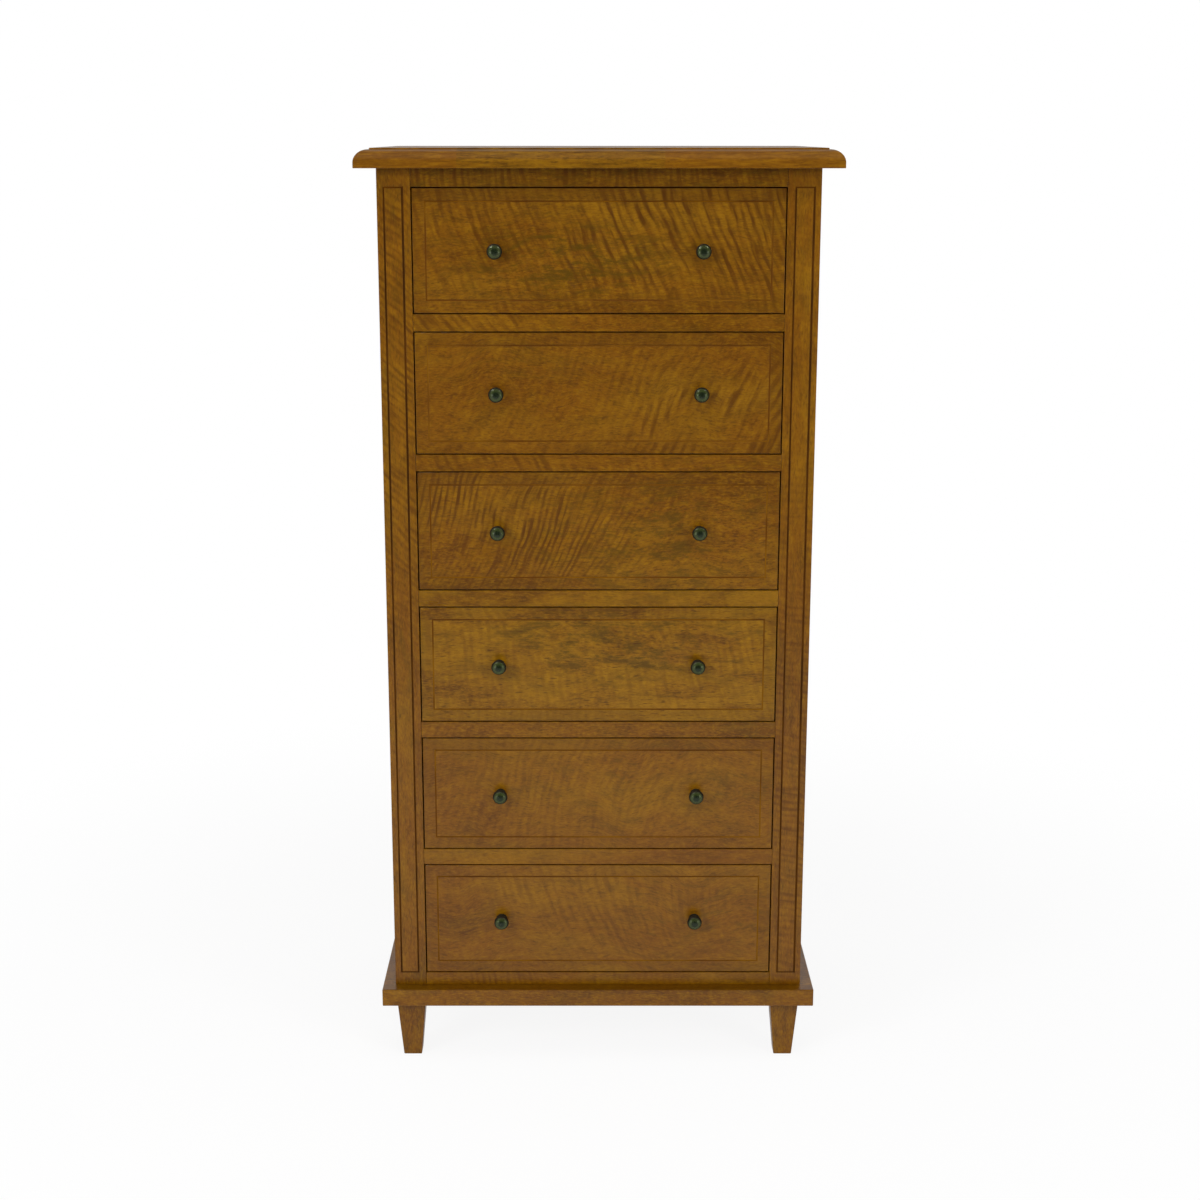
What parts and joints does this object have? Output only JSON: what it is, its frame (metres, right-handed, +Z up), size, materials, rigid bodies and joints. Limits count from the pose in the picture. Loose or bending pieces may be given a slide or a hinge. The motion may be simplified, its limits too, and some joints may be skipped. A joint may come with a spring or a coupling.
{
  "type": "chest of drawers",
  "caption": "Tall narrow chest of flush drawers with turned knobs, a moulded top, a projecting plinth and square tapered feet.",
  "frame": {"origin": "on the floor, below the middle of the top slab", "axes": "+Z up, -Y out of the drawer fronts, +X to the right as seen from the front"},
  "size_m": [0.68, 0.457, 1.3756],
  "materials": {
    "figured_show_wood": "satin lacquer on figured veneer",
    "plain_inner_wood": "bare planed wood",
    "aged_bronze": "dark patina, polished on the head"
  },
  "bodies": {
    "case": {"top_slab": "figured_show_wood", "left_side_panel": "figured_show_wood", "right_side_panel": "figured_show_wood", "left_front_stile": "figured_show_wood", "right_front_stile": "figured_show_wood", "back_panel": "plain_inner_wood", "top_rail_board": "figured_show_wood", "divider_board_1": "figured_show_wood", "divider_board_2": "figured_show_wood", "divider_board_3": "figured_show_wood", "divider_board_4": "figured_show_wood", "divider_board_5": "figured_show_wood", "bottom_rail_board": "figured_show_wood", "plinth_board": "figured_show_wood", "foot_front_left": "figured_show_wood", "foot_front_right": "figured_show_wood", "foot_back_left": "figured_show_wood", "foot_back_right": "figured_show_wood"},
    "drawer_1": {"drawer_1_front": "figured_show_wood", "drawer_1_left_side": "plain_inner_wood", "drawer_1_right_side": "plain_inner_wood", "drawer_1_back": "plain_inner_wood", "drawer_1_bottom": "plain_inner_wood", "drawer_1_left_knob": "aged_bronze", "drawer_1_right_knob": "aged_bronze"},
    "drawer_2": {"drawer_2_front": "figured_show_wood", "drawer_2_left_side": "plain_inner_wood", "drawer_2_right_side": "plain_inner_wood", "drawer_2_back": "plain_inner_wood", "drawer_2_bottom": "plain_inner_wood", "drawer_2_left_knob": "aged_bronze", "drawer_2_right_knob": "aged_bronze"},
    "drawer_3": {"drawer_3_front": "figured_show_wood", "drawer_3_left_side": "plain_inner_wood", "drawer_3_right_side": "plain_inner_wood", "drawer_3_back": "plain_inner_wood", "drawer_3_bottom": "plain_inner_wood", "drawer_3_left_knob": "aged_bronze", "drawer_3_right_knob": "aged_bronze"},
    "drawer_4": {"drawer_4_front": "figured_show_wood", "drawer_4_left_side": "plain_inner_wood", "drawer_4_right_side": "plain_inner_wood", "drawer_4_back": "plain_inner_wood", "drawer_4_bottom": "plain_inner_wood", "drawer_4_left_knob": "aged_bronze", "drawer_4_right_knob": "aged_bronze"},
    "drawer_5": {"drawer_5_front": "figured_show_wood", "drawer_5_left_side": "plain_inner_wood", "drawer_5_right_side": "plain_inner_wood", "drawer_5_back": "plain_inner_wood", "drawer_5_bottom": "plain_inner_wood", "drawer_5_left_knob": "aged_bronze", "drawer_5_right_knob": "aged_bronze"},
    "drawer_6": {"drawer_6_front": "figured_show_wood", "drawer_6_left_side": "plain_inner_wood", "drawer_6_right_side": "plain_inner_wood", "drawer_6_back": "plain_inner_wood", "drawer_6_bottom": "plain_inner_wood", "drawer_6_left_knob": "aged_bronze", "drawer_6_right_knob": "aged_bronze"}
  },
  "joints": [
    {"name": "drawer_1_slide", "type": "slide", "parent": "case", "child": "drawer_1", "axis": [0, -1, 0], "range_m": [0, 0.3]},
    {"name": "drawer_2_slide", "type": "slide", "parent": "case", "child": "drawer_2", "axis": [0, -1, 0], "range_m": [0, 0.3]},
    {"name": "drawer_3_slide", "type": "slide", "parent": "case", "child": "drawer_3", "axis": [0, -1, 0], "range_m": [0, 0.3]},
    {"name": "drawer_4_slide", "type": "slide", "parent": "case", "child": "drawer_4", "axis": [0, -1, 0], "range_m": [0, 0.3]},
    {"name": "drawer_5_slide", "type": "slide", "parent": "case", "child": "drawer_5", "axis": [0, -1, 0], "range_m": [0, 0.3]},
    {"name": "drawer_6_slide", "type": "slide", "parent": "case", "child": "drawer_6", "axis": [0, -1, 0], "range_m": [0, 0.3]}
  ]
}
